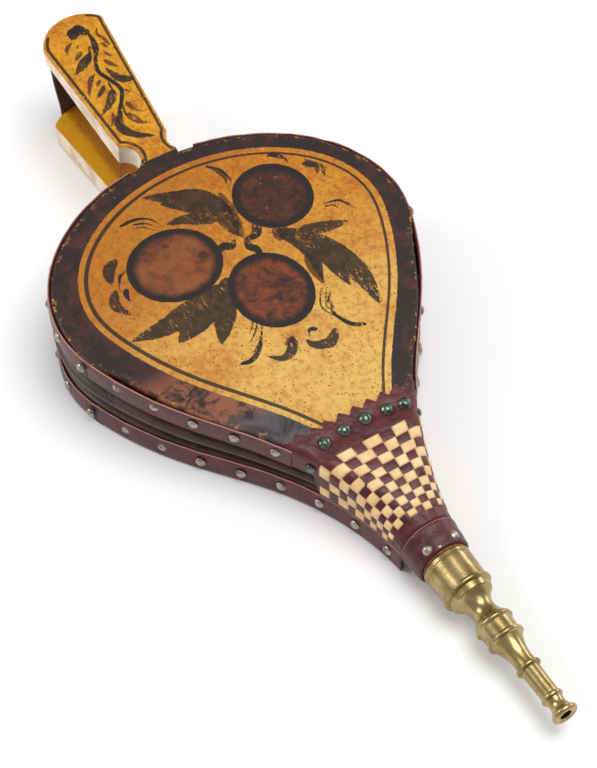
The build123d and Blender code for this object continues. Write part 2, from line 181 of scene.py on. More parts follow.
def pear_path(front_x, step, low_y=0.0):
    """The left half of the boards' outline, from front_x round the tail to y = low_y: points and normals."""
    flank = LEFT_FLANK[LEFT_FLANK[:, 0] <= front_x]
    flank = np.vstack([[front_x, half_width(front_x)], flank])
    turn = np.linspace(0, pi / 2, 120)[1:]
    tail = np.stack([CENTRE_X - TAIL_RADIUS_X * np.sin(turn), HALF_WIDTH * np.cos(turn)], axis=1)
    line = np.vstack([flank, tail[tail[:, 1] >= low_y - 1e-6]])
    length = arc_lengths(line)[-1]
    line = resample(line, np.linspace(0, length, int(length / step)))
    way = headings(line)
    if low_y == 0:
        way[-1] = (0, -1)
    return line, np.stack([way[:, 1], -way[:, 0]], axis=1)


def whole_path(front_x, step):
    """The whole outline, left front to right front: points, normals and the way along in millimetres."""
    line, out = pear_path(front_x, step)
    flip = np.array([1, -1])
    points = np.vstack([line, line[-2::-1] * flip])
    normals = np.vstack([out, out[-2::-1] * flip])
    return points, normals, arc_lengths(points)


def wobble(x, y=0.0, z=0.0, size=10.0):
    """Smooth noise from -1 to 1 with features of about size millimetres."""
    return noise.noise(Vector((x / size, y / size, z / size)))


def in_scene(made):
    bpy.context.scene.collection.objects.link(made)
    return made


def new_mesh(name, points, faces, materials, smooth=True, **attributes):
    """A mesh object from design points in millimetres, with its rest place kept as an attribute."""
    mesh = bpy.data.meshes.new(name)
    mesh.from_pydata(to_row(points).tolist(), [], faces)
    mesh.update()
    piece = in_scene(bpy.data.objects.new(name, mesh))
    for material in materials:
        mesh.materials.append(material)
    if smooth:
        mesh.shade_smooth()
    rest = mesh.attributes.new("rest", "FLOAT_VECTOR", "POINT")
    rest.data.foreach_set("vector", np.asarray(points, np.float32).ravel())
    for key, values in attributes.items():
        layer = mesh.attributes.new(key, "FLOAT", "POINT")
        layer.data.foreach_set("value", np.asarray(values, np.float32).ravel())
    return piece


def loft_faces(rows, columns, closed_columns=True, caps=True, closed_rows=False):
    faces = []
    for i in range(rows if closed_rows else rows - 1):
        for j in range(columns if closed_columns else columns - 1):
            a, b = i * columns + j, i * columns + (j + 1) % columns
            c, d = (i + 1) % rows * columns + (j + 1) % columns, (i + 1) % rows * columns + j
            faces.append((a, b, c, d))
    if caps and not closed_rows:
        last = (rows - 1) * columns
        for j in range(columns // 2 - 1):
            corners = (j, j + 1, columns - 2 - j, columns - 1 - j)
            faces += [corners[::-1], tuple(last + c for c in corners)]
    return faces


def loft(name, sections, materials, closed_rows=False, **attributes):
    """A closed skin through rings of points: sections is (rings, points in a ring, 3)."""
    sections = np.asarray(sections, float)
    rings, around = sections.shape[:2]
    faces = loft_faces(rings, around, closed_rows=closed_rows)
    piece = new_mesh(name, sections.reshape(-1, 3), faces, materials, **attributes)
    fix_normals(piece)
    return piece


def fix_normals(piece):
    shape = bmesh.new()
    shape.from_mesh(piece.data)
    bmesh.ops.recalc_face_normals(shape, faces=shape.faces)
    shape.to_mesh(piece.data)
    shape.free()


def node_points(name):
    """A CAD node's vertices in design millimetres."""
    return to_design([v.co for v in frame["nodes"][name].data.vertices])


def cluster_centres(name, apart=6.0):
    """The centre of each separate fastener in a CAD node."""
    groups = []
    for point in node_points(name):
        near = [g for g in groups if np.linalg.norm(g[0] - point) < apart]
        if near:
            near[0][1].append(point)
        else:
            groups.append((point, [point]))
    return np.array([np.mean(g[1], axis=0) for g in groups])


# --- materials

def srgb(red, green, blue):
    """A linear colour from screen values of 0 to 255."""
    shares = [value / 255 for value in (red, green, blue)]
    return (*(c / 12.92 if c <= 0.04045 else ((c + 0.055) / 1.055) ** 2.4 for c in shares), 1.0)


def scaled(colour, by, plus=0.0):
    return (*(min(1.0, c * by + plus) for c in colour[:3]), 1.0)


class Paint:
    """Builds one material's node tree. A colour is a socket, three screen values or four linear ones."""

    def __init__(self, name, **fixed):
        self.material = bpy.data.materials.new(name)
        self.material.use_nodes = True
        self.tree = self.material.node_tree
        self.shader = self.tree.nodes["Principled BSDF"]
        for key, value in fixed.items():
            self.shader.inputs[key.replace("_", " ")].default_value = value

    def feed(self, socket, value):
        if isinstance(value, bpy.types.NodeSocket):
            self.tree.links.new(value, socket)
        elif value is not None:
            socket.default_value = srgb(*value) if socket.type == "RGBA" and len(value) == 3 else value

    def node(self, kind, inputs=(), **settings):
        """A node, with its inputs fed in order or by name."""
        made = self.tree.nodes.new("ShaderNode" + kind)
        for key, value in settings.items():
            setattr(made, key, value)
        for key, value in inputs.items() if isinstance(inputs, dict) else enumerate(inputs):
            self.feed(made.inputs[key], value)
        return made

    def math(self, operation, first, *others):
        for other in others:
            first = self.node("Math", (first, other), operation=operation).outputs[0]
        return first

    def add(self, *values):
        return self.math("ADD", *values)

    def times(self, *values):
        return self.math("MULTIPLY", *values)

    def step(self, value, low, high):
        """0 below low, 1 above high, smooth between; low may be above high."""
        ends = (0.0, 1.0) if low < high else (1.0, 0.0)
        inputs = (value, min(low, high), max(low, high), *ends)
        return self.node("MapRange", inputs, interpolation_type="SMOOTHSTEP").outputs["Result"]

    def mix(self, share, a, b):
        return self.node("Mix", {0: share, 6: a, 7: b}, data_type="RGBA").outputs[2]

    def wash(self, colour, tint, *masks):
        """The colour with the tint laid over it, as far as the masks together let it."""
        return self.mix(self.times(*masks), colour, tint)

    def attribute(self, name, output="Fac"):
        return self.node("Attribute", attribute_name=name).outputs[output]

    def rest(self):
        """The place at rest in millimetres, of a piece made here."""
        return self.attribute("rest", "Vector")

    def cad(self):
        """The place in millimetres, in the shared frame, of a CAD node."""
        place = self.node("TexCoord").outputs["Object"]
        return self.node("VectorMath", {0: place, "Scale": 1000.0}, operation="SCALE").outputs[0]

    def stretched(self, place, x, y, z=1.0):
        return self.node("VectorMath", (place, (x, y, z)), operation="MULTIPLY").outputs[0]

    def parts(self, place):
        return self.node("SeparateXYZ", (place,)).outputs

    def noise(self, place, size, detail=3.0, rough=0.55, distort=0.0, shift=0.0):
        """Noise from 0 to 1 with features of about size millimetres."""
        inputs = {"Vector": place, "W": shift, "Scale": 1 / size, "Detail": detail, "Roughness": rough,
                  "Distortion": distort}
        return self.node("TexNoise", inputs, noise_dimensions="4D").outputs["Fac"]

    def spots(self, low, high, *noise, **shift):
        """Where a noise rises from low to high."""
        return self.step(self.noise(*noise, **shift), low, high)

    def cells(self, place, size):
        return self.node("TexVoronoi", {"Vector": place, "Scale": 1 / size}).outputs["Distance"]

    def bump(self, height, millimetres, under=None):
        inputs = {"Distance": millimetres / 1000, "Height": height, "Normal": under}
        return self.node("Bump", inputs).outputs["Normal"]

    def done(self, colour, roughness=None, normal=None):
        for key, value in {"Base Color": colour, "Roughness": roughness, "Normal": normal}.items():
            self.feed(self.shader.inputs[key], value)
        return self.material


YELLOW = (182, 118, 16)
LEMON = (206, 166, 86)
ORANGE = (172, 94, 20)
HANDLE_YELLOW = (206, 150, 20)
STAIN = (92, 50, 20)
PALE_CHIP = (226, 190, 100)
BLACK_BROWN = (36, 26, 24)
BORDER_BROWN = (70, 36, 30)
BARE_RED = (138, 82, 56)


def old_yellow(p, place, along):
    """Worn yellow oil paint: brighter towards the nozzle, orange and spotted towards the tail."""
    broad = p.noise(place, 42, 4, 0.6, 0.4)
    fine = p.noise(place, 7, 5, 0.65, 0.6, shift=3)
    colour = p.mix(p.step(p.add(along, p.times(broad, 60)), 130, 240), LEMON, YELLOW)
    colour = p.wash(colour, HANDLE_YELLOW, p.step(along, 252, 268), 0.6)
    colour = p.wash(colour, ORANGE, p.step(p.add(broad, p.times(fine, 0.35)), 0.58, 0.88), 0.6)
    colour = p.wash(colour, (158, 80, 18), p.step(fine, 0.46, 0.72), p.step(along, 60, 200), 0.75)
    mottle = p.noise(place, 2.8, 5, 0.7, 0.4, shift=6)
    colour = p.wash(colour, (146, 84, 26), p.step(mottle, 0.46, 0.66), 0.55)
    colour = p.wash(colour, (220, 166, 54), p.step(mottle, 0.50, 0.30), 0.40)
    crumbs = p.step(p.cells(place, 2.2), 0.28, 0.12)
    colour = p.wash(colour, STAIN, crumbs, p.spots(0.42, 0.54, place, 8, 2, shift=8), 0.85)
    dashes = p.spots(0.69, 0.74, p.stretched(place, 0.5, 1.4), 1.3, 3, 0.6, shift=36)
    colour = p.wash(colour, (96, 66, 34), dashes, p.spots(0.42, 0.58, place, 14, 2, shift=37), 0.7)
    sparks = p.spots(0.70, 0.78, place, 1.5, 2, shift=21)
    colour = p.wash(colour, PALE_CHIP, sparks, p.step(broad, 0.38, 0.6), 0.75)
    scratch = p.spots(0.68, 0.75, p.stretched(place, 0.16, 1.5), 2.2, 2, shift=33)
    return p.wash(colour, (150, 98, 40), scratch, 0.35), fine


def dark_border(p, place, along, across):
    """The near-black border: brown and rubbed to bare red wood in places, with pale crumbs of old paint and a
    patch of painted blue-grey sheen.
    """
    wear = p.noise(place, 16, 5, 0.62, 0.7, shift=5)
    colour = p.mix(p.step(wear, 0.46, 0.64), BLACK_BROWN, BORDER_BROWN)
    rubbed = p.times(p.step(along, 92, 106), p.step(along, 150, 128), p.step(across, -20, -34))
    colour = p.wash(colour, BARE_RED, rubbed, p.spots(0.40, 0.56, place, 9, 5, 0.7, 0.8, shift=13), 0.85)
    # Painted sheen: a blue-grey reflection laid on one stretch of the border near the nozzle.
    painted_sheen = p.times(p.step(along, 112, 96), p.step(across, -10, -22), p.step(wear, 0.36, 0.56))
    colour = p.wash(colour, (96, 98, 108), painted_sheen, 0.45)
    flecks = p.spots(0.685, 0.74, place, 1.7, 3, 0.6, shift=17)
    return p.wash(colour, (176, 150, 100), flecks, p.spots(0.44, 0.58, place, 12, 2, shift=19), 0.75)


def painted_picture():
    """The picture on the front board, drawn from distances kept on its mesh."""
    p = Paint("painted_picture", Specular_IOR_Level=0.30)
    place = p.rest()
    along, across, _ = p.parts(p.attribute("plan", "Vector"))
    brushy = p.noise(place, 2.6, 3, 0.6, 0.2, shift=2)
    ragged = p.times(p.add(brushy, -0.5), 1.3)

    def inside(name, soft=0.16, rag=1.0):
        return p.step(p.add(p.attribute(name), p.times(ragged, rag)), soft, -soft)

    colour, fine = old_yellow(p, place, along)
    # Darker and more orange towards the tail, more so on the right side, stopping before the handle.
    toward_tail_darkening = p.step(p.add(along, p.times(across, -0.8)), 170, 250)
    colour = p.wash(colour, (146, 80, 20), toward_tail_darkening, p.step(along, 264, 250), 0.42)
    lost = p.spots(0.54, 0.62, p.stretched(place, 0.6, 1.5), 1.7, 4, 0.7, shift=40)
    kept = p.math("SUBTRACT", 1.0, p.times(lost, p.spots(0.44, 0.56, place, 13, 2, shift=41), 0.9))
    colour = p.wash(colour, (86, 42, 16), inside("brown", 0.35, 1.2), kept, 0.94)
    leaf = inside("leaf", 0.3, 1.5)
    leaf_tone = p.mix(p.spots(0.40, 0.66, place, 5, 3, shift=50), (22, 18, 13), (54, 38, 22))
    leaf_tone = p.wash(leaf_tone, (150, 136, 96), p.spots(0.66, 0.74, place, 1.5, 3, shift=51), 0.6)
    colour = p.wash(colour, leaf_tone, leaf, kept, 0.95)
    flesh = p.mix(p.spots(0.36, 0.68, place, 7, 6, 0.72, 0.8, shift=60), (46, 26, 20), (122, 58, 28))
    cloudy = p.spots(0.30, 0.62, place, 12, 2, shift=63)
    flesh = p.wash(flesh, (136, 78, 38), p.step(across, -4, -12), cloudy, 0.75)
    flesh = p.wash(flesh, (38, 24, 20), p.step(along, 186, 196), p.step(across, 12, 20), 0.6)
    flesh = p.wash(flesh, (190, 140, 96), p.spots(0.66, 0.74, place, 1.6, 3, shift=61), 0.6)
    depth = p.add(p.attribute("plum"), p.times(p.add(p.noise(place, 6, 3, shift=62), -0.5), 5.0))
    flesh = p.wash(flesh, (30, 22, 20), p.step(depth, -6.6, -2.4))
    colour = p.wash(colour, flesh, inside("plum", 0.2, 0.7))
    whole = p.spots(0.30, 0.36, place, 6, 4, 0.7, shift=70)
    colour = p.wash(colour, (36, 24, 19), inside("line", 0.14, 0.25), whole, 0.93)
    colour = p.wash(colour, (30, 24, 20), inside("stroke", 0.15, 0.7), kept)
    border = inside("border", 0.18, 0.9)
    colour = p.wash(colour, dark_border(p, place, along, across), border)
    chips = p.spots(0.55, 0.62, place, 4.0, 4, 0.75, shift=80)
    chipped = p.times(p.step(p.attribute("rim"), 3.6, 1.0), chips)
    colour = p.wash(colour, p.mix(brushy, (196, 146, 58), (132, 84, 46)), chipped, 0.85)
    streaks = p.noise(p.stretched(place, 0.35, 1.6), 1.1, 3, shift=90)
    relief = p.add(p.times(p.math("MAXIMUM", border, inside("plum"), leaf), 0.35), p.times(fine, 0.6),
                   p.times(streaks, 0.5), p.times(chipped, -0.8))
    rough = p.add(0.30, p.times(p.noise(place, 5, 4, 0.65, shift=91), 0.34))
    return p.done(colour, rough, p.bump(relief, 0.22))


def board_wood(name, handle_shade_share):
    """A board's own paint: dark round the body's rim, yellow on the handle, cream on the handle's sides. The
    handle's yellow also carries painted shade down its middle and painted light at its outer edges, as much
    as the second argument gives.
    """
    p = Paint(name, Specular_IOR_Level=0.30)
    place = p.cad()
    x, y, _ = p.parts(place)
    along = p.math("SUBTRACT", SHIFT, x)
    flatness = p.math("ABSOLUTE", p.parts(p.node("TexCoord").outputs["Normal"])[2], 0.0)
    yellow, fine = old_yellow(p, place, along)
    # Painted shade and light: the handle's yellow is darkened down the middle, as under the other handle, and
    # brightened at its outer edges.
    handle_middle_shade = p.step(p.add(p.math("ABSOLUTE", y, 0.0), p.times(fine, 5)), 15, 7)
    yellow = p.wash(yellow, (128, 74, 18), handle_middle_shade, handle_shade_share)
    yellow = p.wash(yellow, (222, 164, 14), p.step(handle_middle_shade, 0.6, 0.0), handle_shade_share)
    dark = dark_border(p, place, along, y)
    dark = p.wash(dark, (196, 146, 58), p.spots(0.56, 0.64, place, 4.0, 4, 0.75, shift=80), 0.8)
    cream = p.mix(p.spots(0.35, 0.7, place, 10, 4, shift=7), (236, 220, 200), (206, 182, 148))
    grain = p.noise(p.stretched(place, 0.06, 1.0), 1.4, 4, 0.6, shift=9)
    cream = p.wash(cream, (168, 122, 72), p.step(grain, 0.60, 0.74), 0.5)
    cream = p.wash(cream, (206, 150, 58), p.spots(0.62, 0.70, place, 2.6, 4, 0.7, shift=12), 0.7)
    handle = p.mix(p.step(flatness, 0.12, 0.30), cream, yellow)
    colour = p.mix(p.step(along, BODY_LENGTH + 3, BODY_LENGTH + 2), handle, dark)
    relief = p.add(p.times(fine, 0.6), p.times(grain, 0.5))
    rough = p.add(0.34, p.times(p.noise(place, 5, 4, 0.65, shift=91), 0.30))
    return p.done(colour, rough, p.bump(relief, 0.22))


def bare_wood():
    p = Paint("bare_wood", Specular_IOR_Level=0.3)
    grain = p.noise(p.stretched(p.cad(), 0.05, 1.0), 1.6, 5, 0.6, 0.3)
    colour = p.mix(p.step(grain, 0.3, 0.7), (170, 124, 78), (112, 74, 42))
    return p.done(colour, p.add(0.55, p.times(grain, 0.2)), p.bump(grain, 0.15))


def leather(name, base, worn, from_cad=False, gloss=0.30, raw=False, creases=0.5):
    """Polished old leather: pores, creases, rubbed places, and a pale raw line where the mesh says so."""
    p = Paint(name, Specular_IOR_Level=0.36, Coat_Weight=0.06, Coat_Roughness=0.18)
    place = p.cad() if from_cad else p.rest()
    base = srgb(*base)
    broad = p.noise(place, 14, 4, 0.6, 0.5)
    grain = p.noise(place, 0.7, 3, 0.6, shift=4)
    folds = p.noise(p.stretched(place, 1.0, 1.0, 0.5), 4.5, 4, 0.6, 1.2, shift=6)
    colour = p.mix(p.step(broad, 0.36, 0.68), base, worn)
    # Painted shade: the leather is darkened where the crease bump runs.
    colour = p.wash(colour, scaled(base, 0.35), p.step(folds, 0.60, 0.78), 0.45)
    scuffs = p.spots(0.66, 0.74, place, 2.0, 4, 0.7, shift=14)
    colour = p.wash(colour, scaled(base, 3.2, 0.03), scuffs, p.step(broad, 0.45, 0.6), 0.35)
    rough = p.add(gloss, p.times(broad, 0.22))
    if raw:
        ragged = p.times(p.add(p.noise(place, 3, 3, shift=15), -0.5), 0.5)
        edge = p.step(p.add(p.attribute("raw"), ragged), 0.42, 0.58)
        colour = p.wash(colour, p.mix(grain, (206, 158, 144), (136, 80, 72)), edge, 0.9)
        rough = p.add(rough, p.times(edge, 0.35))
    relief = p.add(p.times(p.cells(place, 0.9), 0.35), p.times(grain, 0.35))
    return p.done(colour, rough, p.bump(relief, 0.10, p.bump(folds, creases)))


def cream_leather():
    p = Paint("cream_leather", Specular_IOR_Level=0.35)
    place = p.rest()
    broad = p.noise(place, 8, 4, 0.6, 0.4)
    grain = p.noise(place, 0.8, 3, 0.6, shift=4)
    colour = p.mix(p.step(broad, 0.3, 0.7), (230, 202, 152), (212, 174, 120))
    colour = p.wash(colour, (176, 122, 74), p.spots(0.60, 0.74, place, 2.2, 4, shift=5), 0.35)
    # Painted shade: each cream cell darkens towards its edges, where it tucks under the strips beside it.
    colour = p.wash(colour, (150, 92, 60), p.attribute("tuck"), 0.55)
    return p.done(colour, p.add(0.42, p.times(broad, 0.2)), p.bump(grain, 0.12))


def old_brass():
    """Turned brass: fine lathe rings, brown patina, darker in patches."""
    p = Paint("old_brass", Metallic=1.0)
    place = p.cad()
    broad = p.noise(place, 9, 4, 0.6, 0.3)
    rings = p.noise(p.stretched(place, 1.0, 0.02, 0.02), 0.45, 3, 0.6, shift=2)
    spots = p.spots(0.60, 0.72, place, 2.2, 5, 0.7, shift=5)
    colour = p.mix(p.step(broad, 0.30, 0.72), (182, 161, 112), (136, 115, 72))
    colour = p.wash(colour, (88, 68, 38), spots, 0.5)
    colour = p.wash(colour, (104, 82, 44), p.step(rings, 0.58, 0.70), 0.30)
    rough = p.add(0.20, p.times(broad, 0.14), p.times(spots, 0.2))
    return p.done(colour, rough, p.bump(rings, 0.035, p.bump(p.noise(place, 3, 3, shift=8), 0.05)))


def nail_metal(name, shiny, tarnish, dark_share, low_rough):
    p = Paint(name, Metallic=0.92)
    place = p.cad()
    broad = p.noise(place, 2.4, 4, 0.65, 0.4)
    colour = p.mix(p.step(broad, dark_share, dark_share + 0.2), shiny, tarnish)
    rough = p.add(low_rough, p.times(broad, 0.25))
    return p.done(colour, rough, p.bump(p.noise(place, 0.8, 3, shift=3), 0.06))


def cane():
    p = Paint("cane", Specular_IOR_Level=0.3)
    grain = p.noise(p.cad(), 1.2, 4, 0.6, 0.5)
    colour = p.mix(grain, (190, 154, 96), (126, 90, 48))
    return p.done(colour, p.add(0.5, p.times(grain, 0.2)), p.bump(grain, 0.12))


def floor_paper():
    p = Paint("floor_paper", Roughness=0.9, Specular_IOR_Level=0.05)
    return p.done(p.mix(p.noise(p.cad(), 400, 2), (0.83, 0.83, 0.84, 1), (0.87, 0.87, 0.87, 1)))


# --- the picture on the front board. Places are (millimetres behind the brass, millimetres to the left),
# measured in the board's plane. Each brush mark is (points, half width), then its form if not the list's own.

BORDER_INSET = 12.5
PINSTRIPE_INSET = 16.4
PINSTRIPE_HALF = 0.72
HANDLE_STRIPE_INSET = 0.9
PICTURE_SHIFT = 2.3              # the painted border sits to the left of the board's middle
PICTURE_BACK = 2.6               # and its round end a little towards the handle
PLUMS = [(207.8, 36.1, 20.9, 20.6), (158.0, 5.3, 23.2, 20.6), (194.6, -27.8, 22.0, 24.2)]


def marks(form, rows):
    """Brush marks as points, half width and form, where a row without a form of its own has this one."""
    return [(*row, form)[:3] for row in rows]


LEAVES = marks("blade", [
    ([(188, 25), (180, 32), (166, 41), (151, 46.5), (138, 47.5), (124, 45.8)], 7.0),
    ([(183, 37), (178, 47), (175, 60)], 3.6),
    ([(177, 35), (160, 39.5), (141, 39.7)], 4.8),
    ([(184, 28), (168, 33.5), (150, 29.8)], 3.6),
    ([(194, 9), (212, 8), (224, 4), (232, -8), (239.5, -21.5)], 6.0),
    ([(215, 6), (226, -6), (231.5, -15.5)], 5.0),
    ([(208, 4), (216, -8), (218.5, -19)], 3.6),
    ([(175, -10), (163, -18), (152, -25), (142.5, -31.8)], 6.0),
    ([(172, -14), (161, -33), (153.3, -48.8)], 7.0),
    ([(172, -16), (165, -45), (165.4, -67.8)], 6.0),
    ([(172, -12), (170, -26), (171, -40)], 4.0),
    ([(218, 60.2), (211.7, 66.8), (205, 65.5)], 2.0, "comma"),
    ([(211.7, -50.8), (207.5, -57.5), (199, -60)], 3.0),
    ([(195.8, -60), (188, -64.3), (178.7, -60.5)], 2.7),
    ([(123, 20), (117.6, 13.5), (120, 6), (125, 4)], 3.0),
    ([(128, -1), (122.6, -5), (121, -11), (126, -17.3)], 2.6, "comma"),
    ([(312.4, 12.6), (317, 7.5), (327, 4.6)], 2.6, "comma"),
    ([(339.5, 3), (335, -3), (329.5, -11.4)], 2.8),
    ([(316, -1.5), (312.5, -5), (309, -9.6)], 1.4),
    ([(310.5, 0.4), (303.5, -4.6), (297.5, -13)], 2.5, "comma"),
    ([(296, -2), (290, -7), (284, -7.6), (277.5, -3.5), (272, 5)], 2.7),
])
BROWNS = marks("blade", [
    ([(223, 13.6), (205, 11.8), (191, 9.6)], 3.0),
    ([(190, 30), (186, 27), (182, 24)], 4.0),
    ([(168, 31), (160, 30), (148, 28.8)], 3.0),
    ([(129.5, 0), (127.6, -3.5), (126.6, -6.5)], 1.6),
    ([(220, 62), (214, 65), (208, 63)], 1.6),
    ([(237, 18.8), (231, 21.5), (225, 19.6)], 1.1),
    ([(354, 14.4), (350, 12.6), (345, 14.2), (340, 14.6)], 1.1, "stroke"),
    ([(343, 11.6), (339, 12.6)], 1.0, "stroke"),
    ([(337, 9.5), (332, 11.6)], 1.0),
    ([(332, 6.8), (327, 9), (323.8, 11.4)], 1.6),
    ([(300, 2.6), (294, 3.8), (289.5, 7.4)], 1.5, "comma"),
    ([(292, -0.6), (285, 2.2), (281, 7.4)], 2.2, "comma"),
    ([(308, 6.5), (304, 7.8)], 0.9),
    ([(343, -0.4), (341, -3), (338.4, -6.8)], 1.5),
    ([(351, -2.5), (348, -6.8), (344.6, -8.2)], 1.2, "stroke"),
    ([(325, -3), (323, -6), (312, -12.4)], 1.3),
    ([(320.5, -1.4), (316.5, -5.6)], 1.0),
    ([(297, -7), (293, -8.2), (289, -11.8)], 1.2),
    ([(348.5, 0), (345, -2)], 0.7),
])
STROKES = marks("stroke", [
    ([(201, 20.5), (194, 18.5), (190.5, 15), (191, 10.5)], 2.6),
    ([(190.5, 10), (186, 9.2), (183, 11.6), (178, 11.4)], 2.2),
    ([(193, 5), (190.5, 1.6), (192.8, -1.5), (190, -5.5)], 2.3),
    ([(231.7, 48), (227.5, 52.8), (221.7, 54.4)], 1.5, "comma"),
    ([(231, 46.6), (232, 50.5), (229, 53)], 0.8),
    ([(190.3, 56), (188.3, 63.2), (179.7, 67.8)], 0.75),
    ([(188.4, 55), (187.4, 59), (184, 60.4)], 0.5),
    ([(241.5, 16.2), (235, 21.8), (226.7, 22.8), (224, 19.6)], 0.9, "comma"),
    ([(238.5, 18), (233, 20.2), (227.5, 20.4)], 0.4),
    ([(229, -40.2), (229, -31), (225.8, -24.8), (219.6, -21.5)], 1.0, "comma"),
    ([(226.8, -33.6), (224.2, -27.4), (219, -23.8)], 0.55, "comma"),
    ([(224.8, -35), (222.6, -29.6), (218.2, -26)], 0.4),
    ([(203.5, -52.8), (201, -55), (198, -56.2)], 0.9, "blade"),
    ([(194, -55.2), (190, -57), (185.8, -57)], 1.5, "comma"),
    ([(204, -50), (200, -55.6), (194, -58.5)], 0.35),
    ([(126.6, 12), (128.8, 8.6), (125.4, 6.6)], 1.1, "comma"),
    ([(117.5, 34), (121.7, 27.4), (131.7, 23.6), (137.5, 27)], 1.3, "comma"),
    ([(146.7, 26.4), (137, 20.6), (126.5, 24.4)], 0.4),
    ([(145, 28.2), (137, 23.2), (131, 24.6)], 0.35),
    ([(143, 30), (138.5, 25.6), (133, 25.6)], 0.35),
    ([(128.3, -30.4), (127.5, -24), (131.7, -17.4), (143.3, -8.8)], 1.3, "comma"),
    ([(131, -21), (136, -14), (141.6, -10)], 0.5),
    ([(137, -19), (141, -14), (145.6, -10.2)], 0.45),
    ([(141, -17.4), (144.6, -13.6), (148.6, -11)], 0.4),
    ([(131, -4), (127, -2), (123, -2.4)], 0.4),
    ([(353, 9), (349, 8.6), (342, 7.4), (334, 3), (325.6, 0.4), (317, 3), (309, 4.7), (302, 1.3), (296, -3.4),
      (290, -7), (284, -7.6)], 1.25),
    ([(353, 8.6), (347, 8.4), (340, 6.6), (334, 3)], 1.7),
    ([(344, 4.5), (338, 1.6), (333, -3)], 0.9),
    ([(318, 1.2), (313, 0.8), (307, 0.6)], 0.6),
    ([(300, 0.5), (292, -1.4), (286, 0.5)], 0.6),
    ([(326, -2), (322, -5), (319.5, -7)], 0.5),
])
HANDLE_BLOB = [(356.8, 1.6, 3.6, 3.4), (357.6, 5.2, 3.8, 3.8), (354.6, 7.6, 2.4, 2.6), (354.2, 0.4, 2.2, 2.0)]


def lefts(line):
    """The unit vector to the left of a flat line at each of its points."""
    way = headings(line)
    return np.stack([-way[:, 1], way[:, 0]], axis=1)


def brush_width(form, along):
    """How a mark's half width runs from its start, 0, to its end, 1."""
    if form == "blade":
        return np.sin(pi * np.clip(along, 0, 1) ** 0.8) ** 0.75
    if form == "comma":
        return np.sin(pi * np.clip(along, 0, 1) ** 0.5) ** 0.8
    return 0.35 + 0.65 * np.sin(pi * np.clip(along, 0, 1))


FAR = 50.0


def to_segments(places, line):
    """Each place's distance to each segment of a line, and how far along the segment it is met."""
    a, step = line[:-1], np.diff(line, axis=0)
    t = np.clip(((places[:, None] - a) * step).sum(2) / np.maximum((step ** 2).sum(1), 1e-9), 0, 1)
    return np.linalg.norm(places[:, None] - (a + t[..., None] * step), axis=2), t


def marks_distance(places, brush_marks):
    """Signed distance in millimetres from each place to the nearest brush mark; negative inside."""
    nearest = np.full(len(places), FAR)
    for points, half, form in brush_marks:
        line = curve_through(points)
        low, high = line.min(0) - 8, line.max(0) + 8
        near = np.all((places > low) & (places < high), axis=1)
        if near.any():
            gap, t = to_segments(places[near], line)
            share = (np.arange(t.shape[1]) + t) / t.shape[1]
            nearest[near] = np.minimum(nearest[near], (gap - half * brush_width(form, share)).min(1))
    return nearest


def ovals_distance(places, ovals):
    nearest = np.full(len(places), FAR)
    for s, y, across_s, across_y in ovals:
        scaled = np.hypot((places[:, 0] - s) / across_s, (places[:, 1] - y) / across_y)
        nearest = np.minimum(nearest, (scaled - 1) * min(across_s, across_y))
    return nearest


def line_distance(places, line):
    """Plain distance from each place to a line, in stretches of 40 segments to save memory."""
    stretches = [line[start:start + 41] for start in range(0, len(line) - 1, 40)]
    return np.min([to_segments(places, stretch)[0].min(1) for stretch in stretches], axis=0)


def is_inside(places, polygon):
    inside = np.zeros(len(places), bool)
    x, y = places[:, 0], places[:, 1]
    for (x0, y0), (x1, y1) in zip(polygon, np.roll(polygon, -1, axis=0)):
        if y0 != y1:
            inside ^= ((y0 > y) != (y1 > y)) & (x < (x1 - x0) * (y - y0) / (y1 - y0) + x0)
    return inside


def top_outline():
    """The rim of the front board's flat upper face, as (distance behind the brass, distance to the left)."""
    mesh = frame["nodes"]["front_board"].data
    points = opened(node_points("front_board"), -1.0)
    edges = {}
    for face in mesh.polygons:
        corners = list(face.vertices)
        if points[corners, 2].min() < HINGE_Z - 0.02:
            continue
        keys = [tuple(np.round(points[c, :2], 2)) for c in corners]
        for a, b in zip(keys, keys[1:] + keys[:1]):
            if (b, a) in edges:
                del edges[(b, a)]
            else:
                edges[(a, b)] = True
    after = {a: b for a, b in edges}
    start = min(after)
    loop, spot = [start], after[start]
    while spot != start and spot in after and len(loop) < len(after) + 2:
        loop.append(spot)
        spot = after[spot]
    loop = np.array(loop)
    return np.stack([-loop[:, 0], loop[:, 1]], axis=1)


def body_ring(inset, shift):
    """The body's outline moved in by inset and to the left by shift, as a closed ring in picture places."""
    points, normals, _ = whole_path(-20.0, 1.5)
    ring = points - normals * inset + (0, shift)
    ring[:, 0] -= PICTURE_BACK * smooth_step(-120, -200, ring[:, 0])
    return np.stack([-ring[:, 0], ring[:, 1]], axis=1)


def handle_stripes(outline):
    """The handle's pinstripe: the board's own rim, a little way in, where it leaves the body."""
    rim = closed(outline)
    line = resample(rim, np.arange(0, arc_lengths(rim)[-1], 1.0))
    left = lefts(line)
    sign = 1 if is_inside(line + left * 0.5, outline).mean() > 0.5 else -1
    on_tip = (line[:, 0] > 354) & (np.abs(line[:, 1] - 1) < 13)
    kept = (line + left * sign * HANDLE_STRIPE_INSET)[(line[:, 0] > BODY_LENGTH + 1.5) & ~on_tip]
    gaps = np.linalg.norm(np.diff(kept, axis=0), axis=1)
    return np.split(kept, np.flatnonzero(gaps > 3.0) + 1)


